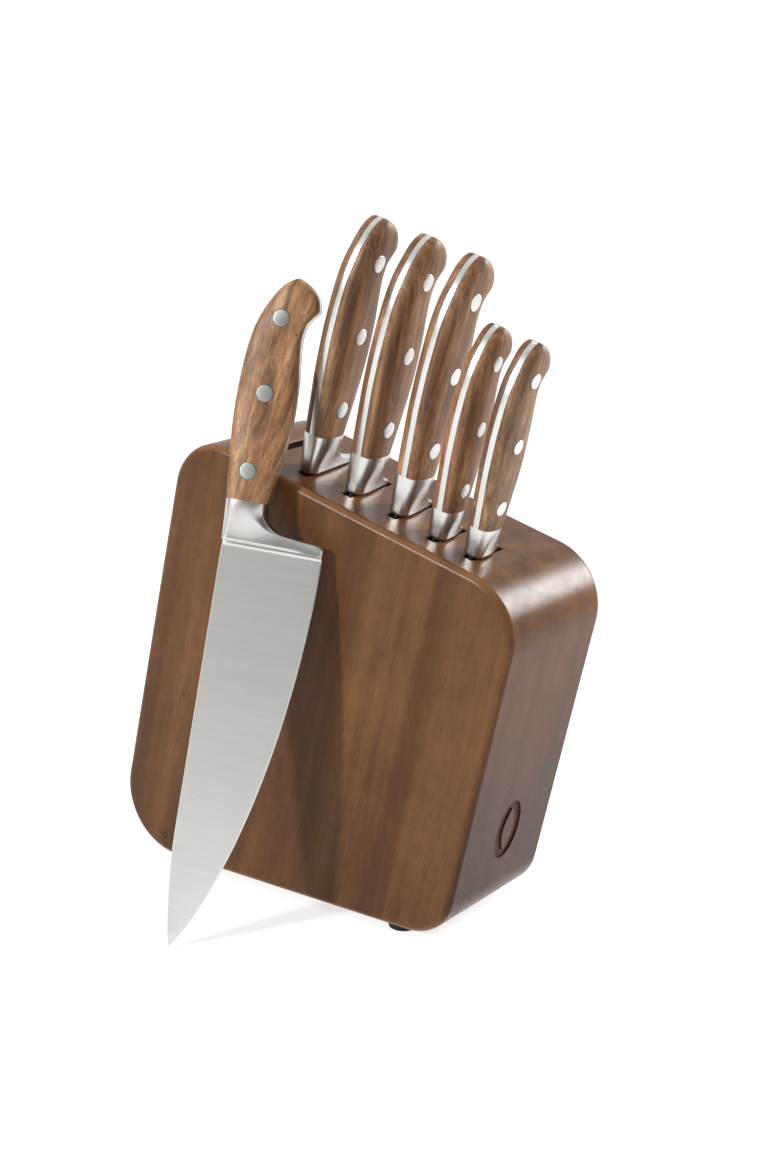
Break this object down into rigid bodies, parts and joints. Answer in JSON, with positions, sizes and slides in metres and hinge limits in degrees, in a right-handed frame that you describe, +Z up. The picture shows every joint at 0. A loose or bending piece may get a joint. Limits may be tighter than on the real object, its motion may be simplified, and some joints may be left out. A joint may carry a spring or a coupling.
{
  "type": "knife block with knives",
  "caption": "Leaning wooden knife block with slotted top and rubber feet, holding steel kitchen knives with riveted wooden handles, and one more knife leaning against its front.",
  "frame": {"origin": "centre of the whole object's footprint, on the table under the feet", "axes": "+X right along the block's front, +Y towards its back, +Z up"},
  "size_m": [0.2534, 0.164, 0.36],
  "materials": {
    "block_wood": "dark stained hardwood, satin lacquer",
    "handle_wood": "oiled walnut, open pores",
    "blade_steel": "finely brushed blade, satin bolster and tang",
    "rivet_steel": "satin",
    "foot_rubber": "matt black"
  },
  "bodies": {
    "block": {"block_stave_1": "block_wood", "block_stave_2": "block_wood", "block_stave_3": "block_wood", "block_stave_4": "block_wood", "block_stave_5": "block_wood", "block_stave_6": "block_wood", "block_stave_7": "block_wood", "foot_front_left": "foot_rubber", "foot_front_right": "foot_rubber", "foot_back_left": "foot_rubber", "foot_back_right": "foot_rubber"},
    "santoku_knife": {"santoku_knife_blade": "blade_steel", "santoku_knife_scale_left": "handle_wood", "santoku_knife_scale_right": "handle_wood", "santoku_knife_rivet_1": "rivet_steel", "santoku_knife_rivet_2": "rivet_steel", "santoku_knife_rivet_3": "rivet_steel"},
    "bread_knife": {"bread_knife_blade": "blade_steel", "bread_knife_scale_left": "handle_wood", "bread_knife_scale_right": "handle_wood", "bread_knife_rivet_1": "rivet_steel", "bread_knife_rivet_2": "rivet_steel", "bread_knife_rivet_3": "rivet_steel"},
    "carving_knife": {"carving_knife_blade": "blade_steel", "carving_knife_scale_left": "handle_wood", "carving_knife_scale_right": "handle_wood", "carving_knife_rivet_1": "rivet_steel", "carving_knife_rivet_2": "rivet_steel", "carving_knife_rivet_3": "rivet_steel"},
    "utility_knife": {"utility_knife_blade": "blade_steel", "utility_knife_scale_left": "handle_wood", "utility_knife_scale_right": "handle_wood", "utility_knife_rivet_1": "rivet_steel", "utility_knife_rivet_2": "rivet_steel", "utility_knife_rivet_3": "rivet_steel"},
    "paring_knife": {"paring_knife_blade": "blade_steel", "paring_knife_scale_left": "handle_wood", "paring_knife_scale_right": "handle_wood", "paring_knife_rivet_1": "rivet_steel", "paring_knife_rivet_2": "rivet_steel", "paring_knife_rivet_3": "rivet_steel"},
    "chef_knife": {"chef_knife_blade": "blade_steel", "chef_knife_scale_left": "handle_wood", "chef_knife_scale_right": "handle_wood", "chef_knife_rivet_1": "rivet_steel", "chef_knife_rivet_2": "rivet_steel", "chef_knife_rivet_3": "rivet_steel"}
  },
  "joints": [
    {"name": "santoku_knife_lift", "type": "slide", "parent": "block", "child": "santoku_knife", "axis": [0.2639, 0, 0.9646], "range_m": [0, 0.19]},
    {"name": "bread_knife_lift", "type": "slide", "parent": "block", "child": "bread_knife", "axis": [0.2639, 0, 0.9646], "range_m": [0, 0.215]},
    {"name": "carving_knife_lift", "type": "slide", "parent": "block", "child": "carving_knife", "axis": [0.2639, 0, 0.9646], "range_m": [0, 0.215]},
    {"name": "utility_knife_lift", "type": "slide", "parent": "block", "child": "utility_knife", "axis": [0.2639, 0, 0.9646], "range_m": [0, 0.142]},
    {"name": "paring_knife_lift", "type": "slide", "parent": "block", "child": "paring_knife", "axis": [0.2639, 0, 0.9646], "range_m": [0, 0.102]},
    {"name": "chef_knife_lift", "type": "slide", "parent": "block", "child": "chef_knife", "axis": [0, 0, 1], "range_m": [0, 0.26]}
  ]
}
